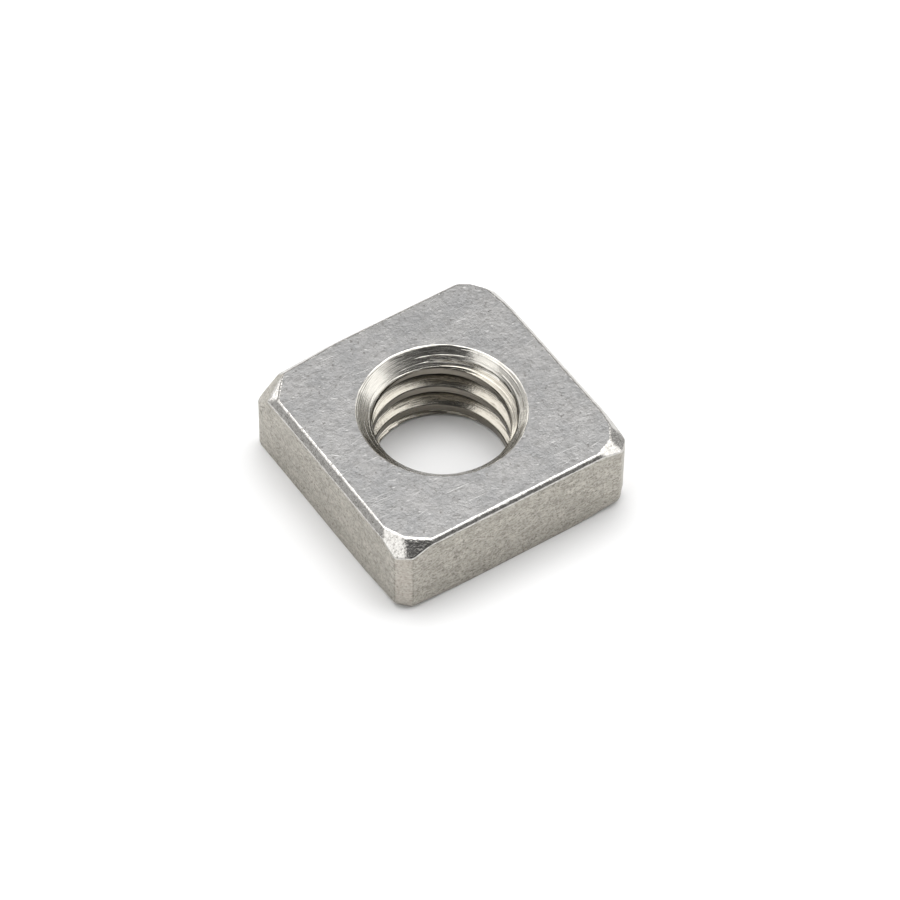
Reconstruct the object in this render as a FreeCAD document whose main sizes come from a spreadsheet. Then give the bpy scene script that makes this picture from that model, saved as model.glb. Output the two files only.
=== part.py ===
import FreeCAD, Part
import os

import Sketcher
from FreeCAD import Vector

# A thin square nut for an M6 screw, in millimetres. It lies on its underside with the
# crowned face up. The origin is the middle of the underside, Z runs along the screw, and
# X and Y run square to the four sides.

NODE = "square_nut"

DRIVING_SIZES = (
    ("across_flats", "9.7", "distance between two opposite sides"),
    ("thickness", "3.2", "height from the underside to the crowned face"),
    ("side_edge_radius", "0.45", "rounding of the four upright edges, left by the drawn bar"),
    ("band_inset", "0.17", "how far the crowned face stops short of each side"),
    ("band_slope", "46", "degrees that the narrow band along each side falls"),
    ("facet_inset", "0.82", "from the bar's rounded corner in to the upper edges of its facets"),
    ("facet_turn", "15", "degrees that a corner's two facets are turned off its diagonal"),
    ("facet_slope", "37", "degrees that those facets fall"),
    ("deep_inset", "0.8", "from the far left corner in to the upper edge of its deeper facet"),
    ("deep_turn", "6", "degrees that the deeper facet is turned off its corner's diagonal"),
    ("deep_slope", "55", "degrees that the deeper facet falls"),
    ("under_edge_radius", "0.1", "rounding of the edge round the underside"),
    ("thread_major", "6", "major diameter of the screw thread"),
    ("thread_pitch", "1", "rise of the screw thread in one turn"),
    ("mouth_clearance", "0.04", "how far the upper mouth stands outside the thread, on the radius"),
    ("mouth_angle", "90", "degrees of the cone that opens the upper mouth"),
    ("exit_break", "0.12", "small 45 degree break of the hole's edge at the underside"),
)

# The sharp profile of a 60 degree thread is half the root of three pitches high. Five eighths
# of it stands in the hole, so that is how far the crests lie inside the major radius.
DERIVED_SIZES = (
    ("half_width", "=across_flats / 2", "from the middle to each side"),
    ("band_reach", "=half_width - band_inset", "from the middle to each edge of the crowned face"),
    (
        "half_diagonal",
        "=(half_width - side_edge_radius) * sqrt(2) + side_edge_radius",
        "from the middle to the bar's rounded corner",
    ),
    ("facet_reach", "=half_diagonal - facet_inset", "from the middle to a facet's upper edge"),
    ("deep_reach", "=half_diagonal - deep_inset", "the same for the deeper facet"),
    ("outside", "=half_width * 3 / 2", "a distance from the middle that clears the whole bar"),
    ("sharp_height", "=thread_pitch * sqrt(3) / 2", "height of the thread's sharp profile"),
    ("minor_radius", "=thread_major / 2 - 5 / 8 * sharp_height", "wall of the hole, at the crests"),
    ("mouth_radius", "=thread_major / 2 + mouth_clearance", "outer edge of the upper mouth"),
    ("mouth_depth", "=(mouth_radius - minor_radius) / tan(mouth_angle / 2)", "depth of the upper mouth"),
    ("overcut", "=thickness / 16", "how far a cutter stands proud of the face that it cuts"),
)


def add_sheet(doc):
    """The sizes, one row each: name, value, meaning."""
    sheet = doc.addObject("Spreadsheet::Sheet", "sizes")
    for row, (alias, value, meaning) in enumerate(DRIVING_SIZES + DERIVED_SIZES, start=1):
        sheet.set(f"A{row}", alias)
        sheet.set(f"B{row}", value)
        sheet.set(f"C{row}", meaning)
        sheet.setAlias(f"B{row}", alias)
    doc.recompute()


def add_sketch(body, name, role, lift=None):
    """A sketch on one of the body's own origin planes, lifted off it by an expression."""
    plane = next(feature for feature in body.Origin.OriginFeatures if feature.Role == role)
    sketch = body.newObject("Sketcher::SketchObject", name)
    sketch.AttachmentSupport = [(plane, "")]
    sketch.MapMode = "FlatFace"
    if lift:
        sketch.setExpression("AttachmentOffset.Base.z", lift)
    return sketch


def bind(sketch, constraint, name, expression):
    """Adds a dimension to a sketch and ties it to the sheet."""
    index = sketch.addConstraint(constraint)
    sketch.renameConstraint(index, name)
    sketch.setExpression(f"Constraints.{name}", expression)


def evaluate(sketch, expression):
    """The present value of an expression, to draw a line near its final place."""
    return float(sketch.evalExpression(expression))


def add_polygon(sketch, corners):
    """A closed run of straight lines, each corner as (name, x, y). A distance is an
    expression, or None where the corner lies on the sketch's own axis."""
    places = [
        Vector(evaluate(sketch, x or "0"), evaluate(sketch, y or "0"), 0) for name, x, y in corners
    ]
    count = len(corners)
    for i in range(count):
        sketch.addGeometry(Part.LineSegment(places[i], places[(i + 1) % count]))
    for i in range(count):
        sketch.addConstraint(Sketcher.Constraint("Coincident", i, 2, (i + 1) % count, 1))
    for i, (name, x, y) in enumerate(corners):
        if x:
            across = Sketcher.Constraint("DistanceX", -1, 1, i, 1, places[i].x)
            bind(sketch, across, name + "_x", x)
        else:
            sketch.addConstraint(Sketcher.Constraint("PointOnObject", i, 1, -2))
        if y:
            up = Sketcher.Constraint("DistanceY", -1, 1, i, 1, places[i].y)
            bind(sketch, up, name + "_y", y)
        else:
            sketch.addConstraint(Sketcher.Constraint("PointOnObject", i, 1, -1))


def add_block(doc, body):
    """The length of square bar that the nut is cut from, its upright edges rounded."""
    section = add_sketch(body, "bar_section", "XY_Plane")
    half = "sizes.half_width"
    add_polygon(
        section,
        (
            ("near_left", f"-{half}", f"-{half}"),
            ("near_right", half, f"-{half}"),
            ("far_right", half, half),
            ("far_left", f"-{half}", half),
        ),
    )
    block = body.newObject("PartDesign::Pad", "block")
    block.Profile = section
    block.setExpression("Length", "sizes.thickness")
    doc.recompute()

    upright = [
        f"Edge{number}"
        for number, edge in enumerate(block.Shape.Edges, start=1)
        if abs(edge.tangentAt(edge.FirstParameter).z) > 0.5
    ]
    rounded = body.newObject("PartDesign::Fillet", "rounded_side_edges")
    rounded.Base = (block, upright)
    rounded.setExpression("Radius", "sizes.side_edge_radius")
    doc.recompute()


def add_flat_cut(doc, body, name, kind, azimuth):
    """A flat cut that takes an edge or a corner off the crowned face. It faces the azimuth, in
    degrees from X. Its reach and slope are the sheet's sizes for that kind of cut."""
    section = add_sketch(body, name + "_section", "XZ_Plane")
    section.AttachmentOffset = FreeCAD.Placement(Vector(), FreeCAD.Rotation(Vector(0, 1, 0), 1))
    section.setExpression("AttachmentOffset.Rotation.Angle", azimuth)
    reach = f"sizes.{kind}_reach"
    fall = f"tan(sizes.{kind}_slope)"
    above = "sizes.thickness + sizes.overcut"
    add_polygon(
        section,
        (
            ("inner", f"{reach} - sizes.overcut / {fall}", above),
            ("lower", "sizes.outside", f"sizes.thickness - (sizes.outside - {reach}) * {fall}"),
            ("upper", "sizes.outside", above),
        ),
    )
    cut = body.newObject("PartDesign::Pocket", name)
    cut.Profile = section
    cut.Type = "ThroughAll"
    cut.Midplane = True
    doc.recompute()
    return cut


def add_crown(doc, body):
    """The crown: a narrow band along each side, and two facets on each corner, which meet on a
    ridge. One band and one pair of facets are cut, and then repeated on the other sides. The
    far left corner was ground down further, by one deeper facet."""
    cuts = [
        add_flat_cut(doc, body, "side_band", "band", "0"),
        add_flat_cut(doc, body, "first_facet", "facet", "45 - sizes.facet_turn"),
        add_flat_cut(doc, body, "second_facet", "facet", "45 + sizes.facet_turn"),
    ]
    axis = next(feature for feature in body.Origin.OriginFeatures if feature.Role == "Z_Axis")
    around = body.newObject("PartDesign::PolarPattern", "crown_all_round")
    around.Originals = cuts
    around.Axis = (axis, [""])
    around.Angle = 360
    around.Occurrences = 4
    around.BaseFeature = cuts[-1]
    body.Tip = around
    doc.recompute()
    return add_flat_cut(doc, body, "deep_facet", "deep", "135 - sizes.deep_turn")


def round_under_edge(doc, body, block):
    """The small rounding round the underside."""
    around = [
        f"Edge{number}"
        for number, edge in enumerate(block.Shape.Edges, start=1)
        if edge.BoundBox.ZMax < 1e-6
    ]
    rounded = body.newObject("PartDesign::Fillet", "rounded_under_edge")
    rounded.Base = (block, around)
    rounded.setExpression("Radius", "sizes.under_edge_radius")
    doc.recompute()


def add_hole(doc, body):
    """The hole for the thread, opened by a cone at the crowned face and with its edge broken
    at the underside: one section turned about Z."""
    section = add_sketch(body, "hole_section", "XZ_Plane")
    upper = "sizes.mouth_radius + sizes.overcut * tan(sizes.mouth_angle / 2)"
    above = "sizes.thickness + sizes.overcut"
    below = "-sizes.overcut"
    add_polygon(
        section,
        (
            ("axis_low", None, below),
            ("exit_low", "sizes.minor_radius + sizes.exit_break + sizes.overcut", below),
            ("wall_low", "sizes.minor_radius", "sizes.exit_break"),
            ("wall_high", "sizes.minor_radius", "sizes.thickness - sizes.mouth_depth"),
            ("mouth_high", upper, above),
            ("axis_high", None, above),
        ),
    )
    hole = body.newObject("PartDesign::Groove", "threaded_hole")
    hole.Profile = section
    hole.ReferenceAxis = (section, ["V_Axis"])
    hole.Angle = 360
    doc.recompute()


def check(doc, body):
    """Stops the build if a feature failed or the solid isn't sound."""
    doc.recompute()
    for item in doc.Objects:
        if "Invalid" in item.State or "Error" in item.State:
            raise RuntimeError(f"{item.Label} failed: {item.State}")
        if item.TypeId == "Sketcher::SketchObject" and not item.FullyConstrained:
            raise RuntimeError(f"{item.Label} can still move")
    features = [f for f in body.Group if f.TypeId.startswith("PartDesign::")]
    for earlier, later in zip(features, features[1:]):
        if later.BaseFeature != earlier:
            raise RuntimeError(f"{later.Label} isn't made from {earlier.Label}")
        if later.Shape.Volume >= earlier.Shape.Volume:
            raise RuntimeError(f"{later.Label} removed nothing")
    if body.Tip != features[-1]:
        raise RuntimeError(f"{body.Label} ends before {features[-1].Label}")
    shape = body.Shape
    if shape.isNull() or not shape.isValid() or len(shape.Solids) != 1:
        raise RuntimeError(f"{body.Label} is not one valid solid")


doc = FreeCAD.newDocument("nut")
add_sheet(doc)
nut = doc.addObject("PartDesign::Body", "nut_body")
nut.Label = NODE
add_block(doc, nut)
crowned = add_crown(doc, nut)
round_under_edge(doc, nut, crowned)
add_hole(doc, nut)
check(doc, nut)

os.makedirs("parts", exist_ok=True)
nut.Shape.exportStep(f"parts/{NODE}.step")
print(f"{NODE}: {len(nut.Shape.Faces)} faces, {nut.Shape.Volume:.2f} mm3")
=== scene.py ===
# %% [markdown]
# A thin square nut of stainless steel, for an M6 screw. The real one is a slice of drawn
# square bar. A cutter takes the corners and edges off one face, a drill and a tap cut the
# threaded hole, and tumbling with other nuts dulls the outside. It is one piece, so it is one
# mesh here, with a different finish where each tool has cut it.

# %% Load the frame
import math

import bmesh
import bpy
import numpy as np
from mathutils import Matrix, Vector


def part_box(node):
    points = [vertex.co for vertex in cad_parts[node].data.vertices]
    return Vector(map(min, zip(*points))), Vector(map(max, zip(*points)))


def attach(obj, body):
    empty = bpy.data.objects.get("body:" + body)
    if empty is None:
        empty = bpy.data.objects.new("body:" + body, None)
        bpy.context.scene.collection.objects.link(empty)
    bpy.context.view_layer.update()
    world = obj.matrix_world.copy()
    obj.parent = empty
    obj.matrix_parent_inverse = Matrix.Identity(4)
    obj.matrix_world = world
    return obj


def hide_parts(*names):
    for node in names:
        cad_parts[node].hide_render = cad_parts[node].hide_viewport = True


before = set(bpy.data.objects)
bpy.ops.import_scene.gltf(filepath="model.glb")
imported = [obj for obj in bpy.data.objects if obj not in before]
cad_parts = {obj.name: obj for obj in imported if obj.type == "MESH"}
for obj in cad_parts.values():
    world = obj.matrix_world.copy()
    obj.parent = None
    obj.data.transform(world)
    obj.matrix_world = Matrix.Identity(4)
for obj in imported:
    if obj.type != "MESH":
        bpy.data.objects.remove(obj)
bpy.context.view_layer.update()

low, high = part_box("square_nut")
print("CAD box in mm:", [round(1000 * v, 2) for v in high - low])

# %% [markdown]
# All sizes below are in millimetres, which is how a fastener is drawn. Blender's unit is the
# metre, so the finished mesh is scaled once, at the end. The width and the height come from
# the frame. The thread's sizes come from the standard for M6: a pitch of 1 mm, flanks 60
# degrees apart, and crests that stand five eighths of the sharp profile's height inside the
# major radius. The rest are measured in the photograph: the rounding of the bar's upright
# edges, how far from the middle two of them are worn flat, the rounding round the underside,
# the mouth of the hole and the width of a crest. Only the break of the hole's lower edge is a
# guess, because it is out of view.

# %% Sizes
MM = 0.001
HALF = (high.x - low.x) / 2 / MM
THICK = (high.z - low.z) / MM
BAR_RADIUS = 0.45
WORN_CORNER = 6.55
UNDER = 0.05

PITCH = 1.0
MAJOR = 3.0
MINOR = MAJOR - 5 / 8 * math.sqrt(3) / 2 * PITCH
MOUTH = 3.04
EXIT = 0.12
FLANK = math.tan(math.radians(30))
CREST = 0.298
print(f"half width {HALF:.2f}, thickness {THICK:.2f}, hole {2 * MINOR:.2f} across at the crests")

# %% [markdown]
# The mesh is a grid wrapped round the hole. Each column is one vertical cut through the metal:
# it runs over the top face, down the chamfer and the side, back under, and up the hole. Cutting
# one solid out of another would be quicker to write, but it leaves long thin faces that shade
# badly, and a grid can be as fine as each edge needs. The columns stand at equal steps along
# the outside, so that the tight corners of the bar get as many as they need.

# %% Columns round the nut
COLUMNS = 760
TURN = 2 * math.pi
BEYOND = 9.0
HALVINGS = 40
FINE = 40001
CORNER_BLEND = 0.08


def soft_max(a, b, width):
    """The larger of two values, with the corner between them rounded."""
    gap = (width - abs(a - b)).clip(0) / width
    return np.maximum(a, b) + gap * gap * width / 4


def outside_bar(x, y):
    """How far a point lies outside the bar's section. It is a square with rounded corners, of
    which the near and the right one are worn to a narrow flat."""
    qx, qy = abs(x) - HALF + BAR_RADIUS, abs(y) - HALF + BAR_RADIUS
    past = np.hypot(np.maximum(qx, 0), np.maximum(qy, 0))
    rounded = past + np.minimum(np.maximum(qx, qy), 0) - BAR_RADIUS
    flat = (abs(x) - y) / math.sqrt(2) - WORN_CORNER
    return soft_max(rounded, flat, CORNER_BLEND)


def reach(angle, outside):
    """How far a shape reaches from the middle in each direction, found by halving the gap
    between a radius inside it and one beyond it."""
    near, far = np.zeros_like(angle), np.full_like(angle, BEYOND)
    for _ in range(HALVINGS):
        middle = (near + far) / 2
        out = outside(middle * np.cos(angle), middle * np.sin(angle)) > 0
        near, far = np.where(out, near, middle), np.where(out, middle, far)
    return near


fine = np.linspace(0, TURN, FINE)
edge = reach(fine, outside_bar)[:, None] * np.stack([np.cos(fine), np.sin(fine)], 1)
walked = np.concatenate([[0], np.cumsum(np.linalg.norm(np.diff(edge, axis=0), axis=1))])
angle = np.interp(np.linspace(0, walked[-1], COLUMNS + 1), walked, fine)
cos, sin = np.cos(angle), np.sin(angle)
print(f"{COLUMNS} columns, {walked[-1] / COLUMNS:.3f} mm apart along the outside")

# %% [markdown]
# The crown is what is left of the block after flat cuts: a narrow one along each side, and two
# wide ones at each corner, which meet on a ridge. Each cut is a plane. Its drop below the top
# face grows with the distance past the cut's upper edge, and the deepest cut wins, which is a
# maximum. Real cuts are never quite alike, so each has its own direction, slope and distance
# from the middle. The bands along the right and the far side are too thin in the photograph to
# measure, and are as in the solid. One cut, low on the left corner, tore the metal instead of
# cutting it, which left it as dull as the bar's own skin.

# %% Flat cuts round the crown
CUTS = (
    ("right side", 0, 46, HALF - 0.17, "milled"),
    ("far side", 90, 46, HALF - 0.17, "milled"),
    ("left side", 180, 47.9, HALF - 0.21, "milled"),
    ("near side", 270, 47.7, HALF - 0.115, "milled"),
    ("near corner, left half", 205.4, 38.5, 5.66, "milled"),
    ("near corner, right half", 234.1, 31.5, 5.89, "milled"),
    ("left corner, upper", 140.5, 35.5, 5.83, "milled"),
    ("left corner, lower", 129, 55, 5.88, "torn"),
    ("far side, left end", 94.6, 46, 4.78, "milled"),
    ("right corner, near half", 293.4, 36, 5.74, "milled"),
    ("right corner, far half", 325.9, 38, 5.95, "milled"),
    ("right side, far end", 8, 46, 5.03, "milled"),
    ("right side, near end", 351, 46, 5.12, "milled"),
    ("far corner, right half", 36, 52, 5.96, "milled"),
    ("far corner, left half", 57, 52, 5.98, "milled"),
)
RIDGE = 0.05


def falls(x, y):
    """How far each cut lies below the plane of the top face, where its plane runs on."""
    for _, azimuth, slope, upper_edge, _ in CUTS:
        a = math.radians(azimuth)
        yield (x * math.cos(a) + y * math.sin(a) - upper_edge) * math.tan(math.radians(slope))


def drop(x, y):
    """How far the crown lies below the plane of the top face."""
    every = falls(x, y)
    deepest = next(every)
    for fall in every:
        deepest = soft_max(deepest, fall, RIDGE)
    return deepest


R_TOP = reach(angle, drop)
R_SIDE = reach(angle, outside_bar)
FOOT = THICK - drop(R_SIDE * cos, R_SIDE * sin)
WIDE = np.hypot(R_SIDE - R_TOP, THICK - FOOT)
print(f"chamfer {WIDE.min():.2f} mm wide on a side, {WIDE.max():.2f} mm at a corner")

# %% [markdown]
# No edge of a real nut is sharp, and a sharp one would show no bright line. A bevel modifier
# could round them, but here each needs its own width. So each corner of a column is replaced by
# a short curve: the two ends lie on the faces and the corner itself is the handle, as in a
# Bezier curve with one handle. Tumbling wears an edge unevenly, so a slow wobble changes the
# width of the rounding. Under the near and the right corner the foot is worn much rounder, and
# a high power keeps that to the corner itself.

# %% Roundings of the edges
LIP = 0.028
dice = np.random.default_rng(6)


def by_side(right, far, left, near):
    """A value for each column, blended at the corners."""
    pull = np.stack([cos, sin, -cos, -sin]).clip(0) ** 12
    return (pull * np.array([right, far, left, near])[:, None]).sum(0) / pull.sum(0)


def wobble(size, waves):
    """Random waves round the nut, which close on themselves."""
    total = np.zeros_like(angle)
    for wave in waves:
        total += np.sin(wave * angle + dice.uniform(0, TURN))
    return size * total / len(waves) ** 0.5


def curve(start, handle, end, steps):
    """Points on a Bezier curve with one handle. Each point is (radius, height)."""
    for t in np.linspace(0, 1, steps):
        a, b, c = (1 - t) ** 2, 2 * t * (1 - t), t * t
        yield tuple(a * p + b * q + c * r for p, q, r in zip(start, handle, end))


def on_chamfer(run):
    """The point on the chamfer that lies this far from its upper edge."""
    r = R_TOP + (R_SIDE - R_TOP) * run / WIDE
    return r, THICK - drop(r * cos, r * sin)


zero = np.zeros_like(angle)
top = zero + THICK
lip = MOUTH + wobble(0.007, (3, 7, 11, 19, 31))
exit_lip = zero + MINOR + EXIT
crown_round = by_side(0.06, 0.06, 0.058, 0.062) * (1 + wobble(0.16, (9, 17, 29, 47, 83)))
foot_round = 0.03 * (1 + wobble(0.2, (13, 23, 41)))
near_corner = (-cos - sin).clip(0) / math.sqrt(2)
right_corner = (cos - sin).clip(0) / math.sqrt(2)
under_round = UNDER + 0.3 * near_corner**40 + 0.38 * right_corner**60
print(f"crown rounded by {crown_round.min():.3f} to {crown_round.max():.3f} mm")

# %% [markdown]
# The rows are laid from the rim of the hole outwards. Where the metal bends they stand close
# together, and where it is flat a few are enough. A flat part starts a little past the rounding
# beside it, so that it also shades flat. Each row remembers which zone of the nut it belongs
# to, because the zones get different finishes.

# %% The outside, from the mouth over the top and down to the underside
rows, zones = [], []


def add_rows(zone, points):
    for r, z in points:
        rows.append((r + zero, z + zero))
        zones.append(zone)


add_rows("mouth", list(curve((lip - LIP, top - LIP), (lip, top), (lip + LIP, top), 5))[1:-1])
add_rows("top", [(lip + LIP, top), (lip + 2 * LIP, top)])
start, stop = lip + 2 * LIP, R_TOP - 2 * crown_round
add_rows("top", [(start + (stop - start) * f, top) for f in (0.25, 0.5, 0.75, 1)])
start = (R_TOP - crown_round, top)
add_rows("chamfer", curve(start, (R_TOP, top), on_chamfer(crown_round), 7))
span = WIDE - crown_round - foot_round
add_rows("chamfer", [on_chamfer(crown_round + span * f) for f in np.linspace(0.1, 0.9, 9)])
corner = (R_SIDE, FOOT)
end = (R_SIDE, FOOT - foot_round)
add_rows("chamfer", curve(on_chamfer(WIDE - foot_round), corner, end, 4))
add_rows("side", [(R_SIDE, FOOT - 2 * foot_round)])
start, stop = FOOT - 2 * foot_round, under_round * 1.3
add_rows("side", [(R_SIDE, start + (stop - start) * f) for f in (0.25, 0.5, 0.75, 1)])
end = (R_SIDE - under_round, 0)
add_rows("side", curve((R_SIDE, under_round), (R_SIDE, 0), end, 6))
start, stop = R_SIDE - 1.5 * under_round, exit_lip + LIP
add_rows("under", [(start + (stop - start) * f, 0) for f in (0, 0.33, 0.67, 1)])
add_rows("mouth", [(exit_lip, 0), (exit_lip - EXIT / 2, EXIT / 2)])
print(f"{len(rows)} rows over the outside")

# %% [markdown]
# The hole is a helical groove with a countersink over it. A screw modifier could turn the
# groove, but not fade it out. In the photograph it shows only in the lower half of the
# countersink, so its depth fades out above that, and at the underside a thin land closes the
# last turn. The rows climb one pitch in each turn, as the thread does, so a crest's edge always
# runs along a row, and within a pitch they stand closest at a crest's edges and at the root.
# They are held back at both ends, with a row to spare past each so that the seam closes, and
# the points that pile up there are merged. The first crest's height and direction are measured.

# %% The threaded hole
PHASE = math.radians(64.2)
FIRST_CREST = THICK - 0.736
SHUT, OPEN = THICK - 0.16, THICK - 0.6
CREST_ROUND, ROOT_ROUND, CONE_ROUND = 0.03, 0.08, 0.02


def groove(up):
    """The radius that the tap cuts, at a height measured in pitches from a crest's middle."""
    off = abs((up + 0.5) % 1 - 0.5) * PITCH
    depth = soft_max((off - CREST / 2) / FLANK, 0 * off, CREST_ROUND)
    return MINOR - soft_max(-depth, 0 * off - (MAJOR - MINOR), ROOT_ROUND)


def wall(z):
    """The radius of the hole's wall at a height, for each column."""
    cut = groove((z - FIRST_CREST) / PITCH - (angle - PHASE) / TURN)
    part = ((SHUT - z) / (SHUT - OPEN)).clip(0, 1)
    cut = MINOR + (cut - MINOR) * part * part * (3 - 2 * part)
    closed = MINOR + (z - EXIT).clip(0) / FLANK
    countersink = MOUTH - (THICK - z)
    return soft_max(-soft_max(-cut, -closed, CREST_ROUND), countersink, CONE_ROUND)


half_pitch = np.array([0, 0.08, 0.125, 0.149, 0.175, 0.24, 0.31, 0.38, 0.43, 0.46, 0.5])
one_pitch = np.concatenate([-half_pitch[:0:-1], half_pitch[:-1]])
every_pitch = np.sort((np.arange(-5, 5)[:, None] + one_pitch[None]).ravel())
heights = FIRST_CREST - PHASE / TURN * PITCH + every_pitch * PITCH
heights = heights[(heights > EXIT - 1.1 * PITCH) & (heights < SHUT + 0.1 * PITCH)]
for height in heights:
    z = (height + PITCH * angle / TURN).clip(EXIT, SHUT)
    add_rows("thread", [(wall(z), z)])
print(f"{len(heights)} rows up the thread")

for z in np.linspace(SHUT, THICK - LIP, 4)[1:]:
    add_rows("mouth", [(lip - (THICK - z), z + zero)])

# %% [markdown]
# The grid becomes a mesh in one step, from arrays. The first and last columns lie on each
# other, and so do the rows held back at the ends of the thread: merging by distance closes the
# ring and drops the faces that have no area. A face's finish is that of its zone, but a torn
# cut keeps the bar's skin, and what lies above the foot of the countersink is the cone's.

# %% Build the mesh
r = np.stack([row[0] for row in rows])
z = np.stack([row[1] for row in rows])
points = np.stack([r * cos, r * sin, z], -1).reshape(-1, 3)
count_rows, count_columns = r.shape
j, i = np.meshgrid(np.arange(count_rows), np.arange(count_columns - 1), indexing="ij")
after = (j + 1) % count_rows
a, b = j * count_columns + i, after * count_columns + i
faces = np.stack([a, b, b + 1, a + 1], -1).reshape(-1, 4)

mesh = bpy.data.meshes.new("square_nut_steel")
mesh.from_pydata((points * MM).tolist(), [], faces.tolist())
nut = bpy.data.objects.new("square_nut_steel", mesh)
bpy.context.scene.collection.objects.link(nut)

MERGE = 0.002
ZONES = ("top", "chamfer", "side", "under", "mouth", "thread")
CONE_FOOT = THICK - (MOUTH - MINOR)
x, y, height = r[j, i] * cos[i], r[j, i] * sin[i], z[j, i]
cut = np.argmax(list(falls(x, y)), axis=0)
torn = np.array([finish == "torn" for *_, finish in CUTS])[cut]
index = np.array([ZONES.index(zone) for zone in zones])[j]
index = np.where((index == ZONES.index("chamfer")) & torn, ZONES.index("side"), index)
in_cone = (index == ZONES.index("thread")) & (height > CONE_FOOT)
index = np.where(in_cone, ZONES.index("mouth"), index)
mesh.polygons.foreach_set("material_index", index.ravel().astype(np.int32))

grid = bmesh.new()
grid.from_mesh(mesh)
bmesh.ops.remove_doubles(grid, verts=grid.verts, dist=MERGE * MM)
bmesh.ops.recalc_face_normals(grid, faces=grid.faces)
open_edges = sum(not e.is_manifold for e in grid.edges)
volume = grid.calc_volume(signed=True) / MM**3
grid.to_mesh(mesh)
grid.free()
mesh.polygons.foreach_set("use_smooth", [True] * len(mesh.polygons))
triangles = sum(len(p.vertices) - 2 for p in mesh.polygons)
print(f"{triangles} triangles, {open_edges} open edges, {volume:.1f} mm3")

# %% [markdown]
# Helpers for the materials. Colours are given as the hex values that a colour picker shows,
# and turned to linear light, which is what the shader multiplies. Patterns are placed in
# millimetres, so that a noise scale of 5 means about five features to the millimetre. One
# pixel of the picture is about 0.04 mm of the nut.

# %% Material helpers


def linear(hex_colour):
    parts = [int(hex_colour[k : k + 2], 16) / 255 for k in (1, 3, 5)]
    return tuple(c / 12.92 if c <= 0.04045 else ((c + 0.055) / 1.055) ** 2.4 for c in parts) + (1,)


def add(tree, kind, settings=None, links=None):
    """Adds a node, gives its settings and sockets their values, and links its inputs."""
    node = tree.nodes.new(kind)
    for key, value in (settings or {}).items():
        if isinstance(key, str) and key not in node.inputs:
            setattr(node, key, value)
        else:
            node.inputs[key].default_value = value
    for key, source in (links or {}).items():
        tree.links.new(source, node.inputs[key])
    return node


def new_material(name):
    material = bpy.data.materials.new(name)
    material.use_nodes = True
    material.node_tree.nodes.clear()
    return material, material.node_tree


def stretched(tree, scale, turn=0):
    """The point on the surface in millimetres, turned about Z and then scaled along each axis."""
    place = add(tree, "ShaderNodeTexCoord").outputs["Object"]
    turned = add(
        tree,
        "ShaderNodeVectorRotate",
        {"rotation_type": "Z_AXIS", "Angle": math.radians(turn)},
        {"Vector": place},
    ).outputs[0]
    size = tuple(s / MM for s in scale)
    return add(tree, "ShaderNodeVectorMath", {"operation": "MULTIPLY", 1: size}, {0: turned}).outputs[0]


def pattern(tree, at, lowest, highest, detail=2.0, roughness=0.55):
    """Noise as a mask: 0 below the lowest value, 1 above the highest."""
    noise = add(
        tree,
        "ShaderNodeTexNoise",
        {"Scale": 1.0, "Detail": detail, "Roughness": roughness, "Distortion": 0.0},
        {"Vector": at},
    )
    mask = add(
        tree,
        "ShaderNodeMapRange",
        {"From Min": lowest, "From Max": highest},
        {"Value": noise.outputs["Fac"]},
    )
    return mask.outputs["Result"]


def both(tree, first, second, amount=1.0):
    """The product of two masks, times an amount."""
    product = add(tree, "ShaderNodeMath", {"operation": "MULTIPLY"}, {0: first, 1: second}).outputs[0]
    return add(tree, "ShaderNodeMath", {"operation": "MULTIPLY", 1: amount}, {0: product}).outputs[0]


def tinted(tree, colour, mask, hex_colour):
    """A colour that turns to another where the mask is 1."""
    mix = add(tree, "ShaderNodeMix", {"data_type": "RGBA", 7: linear(hex_colour)}, {0: mask})
    if isinstance(colour, str):
        mix.inputs[6].default_value = linear(colour)
    else:
        tree.links.new(colour, mix.inputs[6])
    return mix.outputs[2]


def raised(tree, mask, depth_mm, under=None):
    """A normal for a pattern that stands this high, on top of another pattern's normal."""
    node = add(
        tree, "ShaderNodeBump", {"Strength": 1.0, "Distance": depth_mm * MM}, {"Height": mask}
    )
    if under is not None:
        tree.links.new(under, node.inputs["Normal"])
    return node.outputs["Normal"]


def steel(tree, colour, roughness, normal):
    """Bare metal: all of its colour is in its reflection."""
    shader = add(
        tree,
        "ShaderNodeBsdfPrincipled",
        {"Metallic": 1.0, "Roughness": roughness},
        {"Base Color": colour, "Normal": normal},
    )
    add(tree, "ShaderNodeOutputMaterial", links={"Surface": shader.outputs["BSDF"]})


# %% [markdown]
# The top face is austenitic stainless steel, ground flat and then tumbled among other nuts. It
# has no clear reflection left: the eye sees an even cool grey, finely mottled, with short pale
# nicks where another nut's edge has struck it and a few long scratches, most of which run near
# the X axis. The scratches are noise stretched along their run and cut off high, so that only
# its crests are left, and a second, slower noise breaks them into lengths. Each set has its
# turn in degrees, how many to a millimetre along and across it, and where the noise is cut off.
# A painted picture would be sharper, but it would need a map of the surface and would not stand
# a close look.

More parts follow.
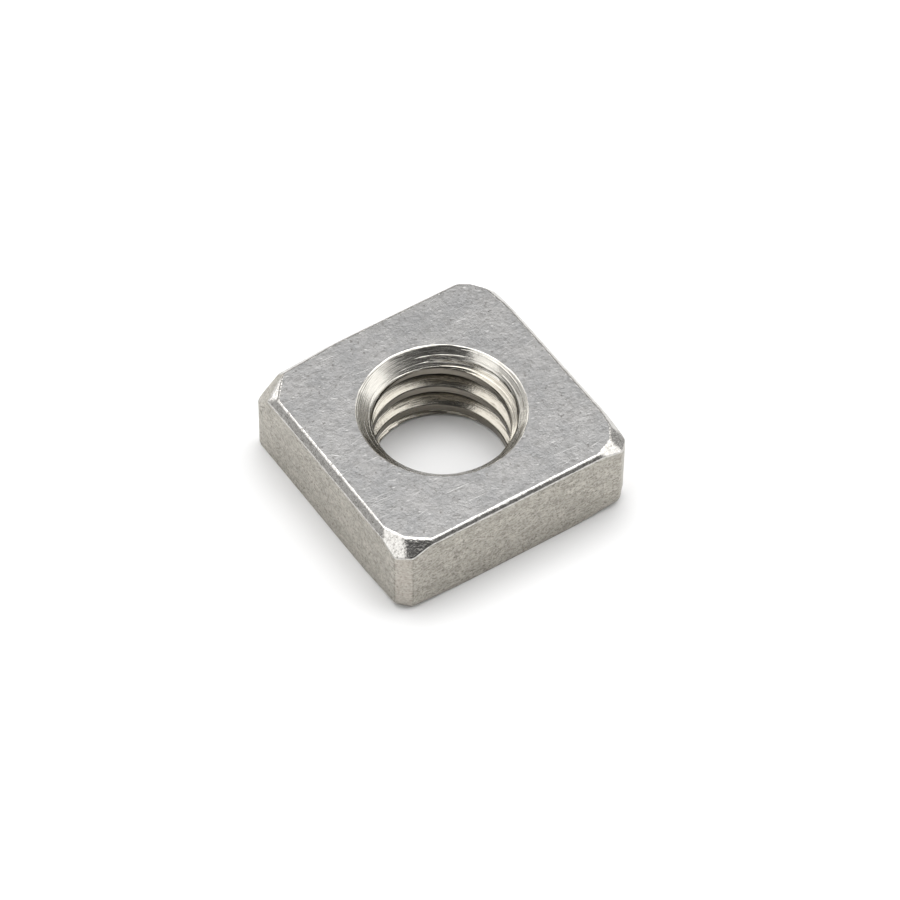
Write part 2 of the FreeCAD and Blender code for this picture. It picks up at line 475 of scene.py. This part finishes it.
# %% Tumbled top
tumbled, tree = new_material("tumbled_stainless_face")
cloud = pattern(tree, stretched(tree, (0.9, 0.9, 0.9)), 0.38, 0.62, 5.0, 0.62)
mottle = pattern(tree, stretched(tree, (3.4, 3.4, 3.4)), 0.33, 0.67, 4.0, 0.72)
grain = pattern(tree, stretched(tree, (13, 13, 13)), 0.3, 0.7, 2.0, 0.7)
nicks = pattern(tree, stretched(tree, (4, 15, 9), 25), 0.7, 0.78, 1.0)
pits = pattern(tree, stretched(tree, (7.3, 7.3, 7.3)), 0.62, 0.76, 2.0)
colour = tinted(tree, "#858585", cloud, "#929190")
colour = tinted(tree, colour, both(tree, mottle, mottle, 0.6), "#6e6d6b")
colour = tinted(tree, colour, both(tree, grain, grain, 0.35), "#a3a2a0")
colour = tinted(tree, colour, pits, "#686664")
colour = tinted(tree, colour, nicks, "#b9b8b6")
normal = raised(tree, mottle, 0.006)
normal = raised(tree, grain, 0.0035, normal)
SCRATCHES = ((4, 0.5, 22, 0.69), (-9, 0.8, 26, 0.7), (38, 0.7, 24, 0.72))
for turn, along, across, cut_off in SCRATCHES:
    lines = pattern(tree, stretched(tree, (along, across, 1), turn), cut_off, cut_off + 0.05, 1.0)
    lengths = pattern(tree, stretched(tree, (0.55, 0.55, 1), turn + 20), 0.45, 0.6, 1.0)
    scratch = both(tree, lines, lengths, 0.8)
    colour = tinted(tree, colour, scratch, "#c9c8c6")
    normal = raised(tree, scratch, 0.004, normal)
steel(tree, colour, 0.4, normal)
print(f"{tumbled.name}: {len(SCRATCHES)} sets of scratches")

# %% [markdown]
# The sides are as the bar was drawn: pulled through a die, which leaves fine marks along the
# bar, then dulled. On the nut the bar's run is the Z axis, but the slice was turned and rolled
# in the tumbler, so the marks in view lie level. The grey is warmer than the top's, because a
# drawn skin keeps some of its lubricant and oxide. The flat that the near upright edge is worn
# to is burnished: a strip a little redder than the sides, between two dark lines. Its mask is
# how far a point lies towards the near corner, so it needs no mesh of its own. The worn flat
# stands at 6.55 mm that way, and the limits below lie just short of it.

# %% Drawn sides
NEAR_CORNER = (-math.sqrt(0.5), -math.sqrt(0.5), 0)
LINE_FROM, STRIP_FROM, STRIP_FULL = 6.49, 6.51, 6.54

drawn, tree = new_material("drawn_stainless_side")
cloud = pattern(tree, stretched(tree, (0.9, 0.9, 1.6)), 0.35, 0.65, 4.0, 0.6)
mottle = pattern(tree, stretched(tree, (3.6, 3.6, 5.5)), 0.3, 0.7, 3.0, 0.7)
grain = pattern(tree, stretched(tree, (11, 11, 14)), 0.3, 0.7, 2.0, 0.7)
marks = pattern(tree, stretched(tree, (1.1, 1.1, 13)), 0.58, 0.72, 2.0, 0.6)
pits = pattern(tree, stretched(tree, (4.2, 4.2, 9)), 0.64, 0.72, 2.0)
colour = tinted(tree, "#c1bdb5", cloud, "#cbc7be")
colour = tinted(tree, colour, both(tree, mottle, mottle, 0.8), "#969289")
colour = tinted(tree, colour, both(tree, grain, grain, 1.0), "#7e7a71")
colour = tinted(tree, colour, marks, "#99958c")
colour = tinted(tree, colour, pits, "#7f7b73")
towards = add(
    tree,
    "ShaderNodeVectorMath",
    {"operation": "DOT_PRODUCT", 1: NEAR_CORNER},
    {0: stretched(tree, (1, 1, 1))},
).outputs["Value"]
strip, strip_and_lines = (
    add(
        tree, "ShaderNodeMapRange", {"From Min": begin, "From Max": full}, {"Value": towards}
    ).outputs["Result"]
    for begin, full in ((STRIP_FROM, STRIP_FULL), (LINE_FROM, STRIP_FROM))
)
lines = add(
    tree, "ShaderNodeMath", {"operation": "SUBTRACT"}, {0: strip_and_lines, 1: strip}
).outputs[0]
colour = tinted(tree, colour, both(tree, strip, mottle, 0.6), "#bcb3ab")
colour = tinted(tree, colour, both(tree, lines, mottle, 0.8), "#6f6a63")
normal = raised(tree, mottle, 0.008)
normal = raised(tree, grain, 0.004, normal)
normal = raised(tree, marks, 0.003, normal)
steel(tree, colour, 0.46, normal)
print(f"{drawn.name}: burnished {STRIP_FULL} mm or more towards the near corner")

# %% [markdown]
# The crown was milled and then knocked about, as every outer edge is. Its cuts are smoother
# than the faces, so they reflect clearly enough to turn white or dark with a small change of
# slope, and small dents make them sparkle. The dents are a bump and not modelled, since each
# is only a few pixels wide.

# %% Milled crown
milled, tree = new_material("milled_stainless_crown")
dents = pattern(tree, stretched(tree, (4.5, 4.5, 4.5)), 0.3, 0.7, 2.0, 0.6)
grain = pattern(tree, stretched(tree, (14, 14, 14)), 0.3, 0.7, 2.0, 0.6)
specks = pattern(tree, stretched(tree, (8, 8, 8)), 0.48, 0.6, 3.0, 0.75)
colour = tinted(tree, "#cfcdc9", both(tree, grain, dents), "#a3a09b")
colour = tinted(tree, colour, both(tree, specks, grain, 0.55), "#7b7873")
normal = raised(tree, dents, 0.0048)
normal = raised(tree, grain, 0.0036, normal)
steel(tree, colour, 0.24, normal)
print(f"{milled.name}: {sum(finish == 'milled' for *_, finish in CUTS)} cuts have it")

# %% [markdown]
# The tools in the hole go round and round, so their marks do too. The masks below are noise
# whose first axis runs across the marks, as the sum of radius and height, and whose other two
# follow the metal slowly round the hole. That keeps the marks unbroken, with no seam. Besides
# its fine marks the metal has a few ledges, where a cutter dwelt, which catch the light as
# rings. They are drawn about 0.01 mm high, so that they show. Torn spots only darken the
# colour. The roots of the thread are painted nearly black: partly cutting oil, and partly
# painted shade for the deep groove under each crest. The crests are tinted a dull brown grey.
# Both are masks of the radius, from where the tint starts to where it is full.

# %% Turned countersink and tapped thread
# The roots' near black is painted shade for the groove under each crest, with some oil.
CREST_TINT_AND_ROOT_SHADE = (
    ("crests", MINOR + 0.024, MINOR + 0.007, 0.85, "#7d776d"),
    ("roots", 2.66, 2.88, 0.95, "#1f1a13"),
)


def radius_of(tree, place):
    """The distance from the hole's axis, in millimetres."""
    level = add(tree, "ShaderNodeVectorMath", {"operation": "MULTIPLY", 1: (1, 1, 0)}, {0: place})
    length = add(tree, "ShaderNodeVectorMath", {"operation": "LENGTH"}, {0: level.outputs[0]})
    return length.outputs["Value"]


def turned(tree, across, around):
    """Coordinates for marks that run round the hole, with so many to a millimetre."""
    place = stretched(tree, (1, 1, 1))
    parts = add(tree, "ShaderNodeSeparateXYZ", links={0: place}).outputs
    run = add(tree, "ShaderNodeMath", links={0: radius_of(tree, place), 1: parts["Z"]}).outputs[0]
    marks = add(tree, "ShaderNodeCombineXYZ", links={0: run, 1: parts["X"], 2: parts["Y"]})
    size = (across, around, around)
    return add(
        tree, "ShaderNodeVectorMath", {"operation": "MULTIPLY", 1: size}, {0: marks.outputs[0]}
    ).outputs[0]


bored = {}
for name, hex_colour, dark, rough, mark_depth, ledge_depth in (
    ("turned_stainless_countersink", "#c8c5be", "#8a847a", 0.22, 0.0035, 0.012),
    ("tapped_stainless_thread", "#beb9ae", "#7a7367", 0.18, 0.0035, 0.007),
):
    bored[name], tree = new_material(name)
    marks = pattern(tree, turned(tree, 17, 0.35), 0.3, 0.7, 3.0, 0.65)
    tears = pattern(tree, turned(tree, 9, 1.6), 0.58, 0.72, 2.0, 0.6)
    ledges = pattern(tree, turned(tree, 5, 0.18), 0.5, 0.54, 1.0)
    grain = pattern(tree, stretched(tree, (12, 12, 12)), 0.3, 0.7, 2.0, 0.6)
    colour = tinted(tree, hex_colour, both(tree, marks, tears, 0.9), dark)
    if name.startswith("tapped"):
        radius = radius_of(tree, stretched(tree, (1, 1, 1)))
        # Paints shade into the roots and a brown grey tint onto the crests.
        for _, tint_from, tint_full, amount, dark_tint in CREST_TINT_AND_ROOT_SHADE:
            mask = add(
                tree,
                "ShaderNodeMapRange",
                {"interpolation_type": "SMOOTHSTEP", "From Min": tint_from, "From Max": tint_full},
                {"Value": radius},
            ).outputs["Result"]
            colour = tinted(tree, colour, both(tree, mask, mask, amount), dark_tint)
    normal = raised(tree, marks, mark_depth)
    normal = raised(tree, ledges, ledge_depth, normal)
    normal = raised(tree, grain, 0.0015, normal)
    steel(tree, colour, rough, normal)
    print(f"{name}: roughness {rough}, ledges {ledge_depth} mm high")

# %% [markdown]
# Every zone now gets its finish. The slots follow the order in which the faces were numbered.
# The nut rides on the part's only body and stands for its only solid.

# %% Finishes and the frame
countersunk, tapped = bored.values()
finish = {
    "top": tumbled,
    "chamfer": milled,
    "side": drawn,
    "under": tumbled,
    "mouth": countersunk,
    "thread": tapped,
}
for zone in ZONES:
    mesh.materials.append(finish[zone])

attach(nut, "root")
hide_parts("square_nut")
print("materials:", [material.name for material in mesh.materials])

# %% [markdown]
# The nut lies on a sheet of white paper, lit so brightly that it photographs as pure white. A
# plain sheet much wider than the view needs no curve behind it. It lies a hair under the nut,
# so that the two don't share a plane.

# %% Floor
FLOOR_HALF_M = 2.0
FLOOR_Z_M = -0.000004
CORNERS = ((-1, -1), (1, -1), (1, 1), (-1, 1))

floor_mesh = bpy.data.meshes.new("floor")
floor_mesh.from_pydata(
    [(x * FLOOR_HALF_M, y * FLOOR_HALF_M, FLOOR_Z_M) for x, y in CORNERS],
    [],
    [(0, 1, 2, 3)],
)
floor = bpy.data.objects.new("floor", floor_mesh)
bpy.context.scene.collection.objects.link(floor)
paper, tree = new_material("white_paper")
shader = add(
    tree, "ShaderNodeBsdfPrincipled", {"Base Color": linear("#f4f4f4"), "Roughness": 0.9}
)
add(tree, "ShaderNodeOutputMaterial", links={"Surface": shader.outputs["BSDF"]})
floor_mesh.materials.append(paper)
print(f"floor {2 * FLOOR_HALF_M} m wide")

# %% [markdown]
# The studio is a white tent with a gap for the lens. Bare metal shows its surroundings, so the
# tent matters more than any lamp. Lamps and cards could be set up one by one, but the tent is
# painted on the world, where it can be as large and as soft as it has to be. A bright panel
# overhead keeps the shadow short, and one on the left and one on the right whiten the cuts that
# face them. A small bright patch low behind gives the left corner its white wedge. The gap
# round the lens darkens the near corner's right half and the far wall of the hole, and a few
# small shades stand where the other cuts reflect them. Each patch has the azimuth and elevation
# of its middle, the angle within which it is full, the angle past which it is gone, all in
# degrees, and a level. A later patch covers the earlier ones.

# %% Light tent
TENT = 0.85
PATCHES = (
    ("back of the tent, which the top face reflects", 56, 42, 22, 45, 0.4),
    ("panel overhead", 58, 76, 15, 31, 4.5),
    ("panel on the left", 165, 46, 28, 38, 1.75),
    ("panel on the right", 340, 38, 26, 36, 1.9),
    ("shade that the left side's band reflects", 145, 16, 12, 24, 0.5),
    ("bright patch that the left corner's upper cut reflects", 99, 15, 6, 13, 3.0),
    ("shade below that patch", 108, -3, 7, 15, 0.2),
    ("shade that the right corner's far half reflects", 7, 11, 10, 20, 0.35),
    ("shade that the near side's band reflects", 294, 28, 12, 24, 0.15),
    ("gap for the lens", 238, 56, 23, 31, 0.04),
    ("gap on the left of the lens", 213, 34, 12, 19, 0.06),
    ("gap on the right of the lens", 262, 36, 14, 22, 0.06),
)

world = bpy.data.worlds.new("light_tent")
bpy.context.scene.world = world
world.use_nodes = True
tree = world.node_tree
tree.nodes.clear()
look = add(tree, "ShaderNodeTexCoord").outputs["Generated"]


def direction(azimuth, elevation):
    a, e = math.radians(azimuth), math.radians(elevation)
    return (math.cos(a) * math.cos(e), math.sin(a) * math.cos(e), math.sin(e))


def patch(azimuth, elevation, inner, outer):
    """1 within the inner angle of a direction, 0 past the outer one."""
    dot = add(
        tree,
        "ShaderNodeVectorMath",
        {"operation": "DOT_PRODUCT", 1: direction(azimuth, elevation)},
        {0: look},
    )
    edge = add(
        tree,
        "ShaderNodeMapRange",
        {
            "interpolation_type": "SMOOTHSTEP",
            "From Min": math.cos(math.radians(outer)),
            "From Max": math.cos(math.radians(inner)),
        },
        {"Value": dot.outputs["Value"]},
    )
    return edge.outputs["Result"]


light = None
for _, azimuth, elevation, inner, outer, brightness in PATCHES:
    mask = patch(azimuth, elevation, inner, outer)
    mix = add(tree, "ShaderNodeMix", {"data_type": "FLOAT", 3: brightness}, {0: mask})
    if light is None:
        mix.inputs[2].default_value = TENT
    else:
        tree.links.new(light, mix.inputs[2])
    light = mix.outputs[0]
tent = add(tree, "ShaderNodeBackground", {"Color": (1, 1, 1, 1)}, {"Strength": light})
add(tree, "ShaderNodeOutputWorld", links={"Surface": tent.outputs["Background"]})
print(f"{len(PATCHES)} patches on the tent")

# %% [markdown]
# The camera stands where the photographer stood: far off with a long lens, so that the
# nut's parallel edges stay almost parallel. Its place is measured from the middle of the top
# face, along its own right, up and backward directions.

# %% Camera
azimuth, elevation, roll = (math.radians(v) for v in (-33.993, 49.95, 0.714))
DISTANCE = 158.8
SIDEWAYS, UPWARDS = 0.285, -1.429
FIELD = 31.77
SENSOR = 36
back = Vector(
    (
        math.sin(azimuth) * math.cos(elevation),
        -math.cos(azimuth) * math.cos(elevation),
        math.sin(elevation),
    )
)
level = Vector((math.cos(azimuth), math.sin(azimuth), 0))
upright = back.cross(level)
right = math.cos(roll) * level + math.sin(roll) * upright
above = -math.sin(roll) * level + math.cos(roll) * upright
eye = Vector((0, 0, THICK)) + SIDEWAYS * right + UPWARDS * above + DISTANCE * back

lens = bpy.data.cameras.new("camera")
lens.sensor_width = SENSOR
lens.lens = SENSOR * DISTANCE / FIELD
lens.clip_start = 0.01
lens.clip_end = 20
camera = bpy.data.objects.new("camera", lens)
facing = Matrix((right, above, back)).transposed().to_4x4()
camera.matrix_world = Matrix.Translation(eye * MM) @ facing
bpy.context.scene.collection.objects.link(camera)
bpy.context.scene.camera = camera
bpy.context.scene.view_settings.view_transform = "Standard"
print(f"lens {lens.lens:.1f} mm, {FIELD} mm of the nut's plane across the picture")
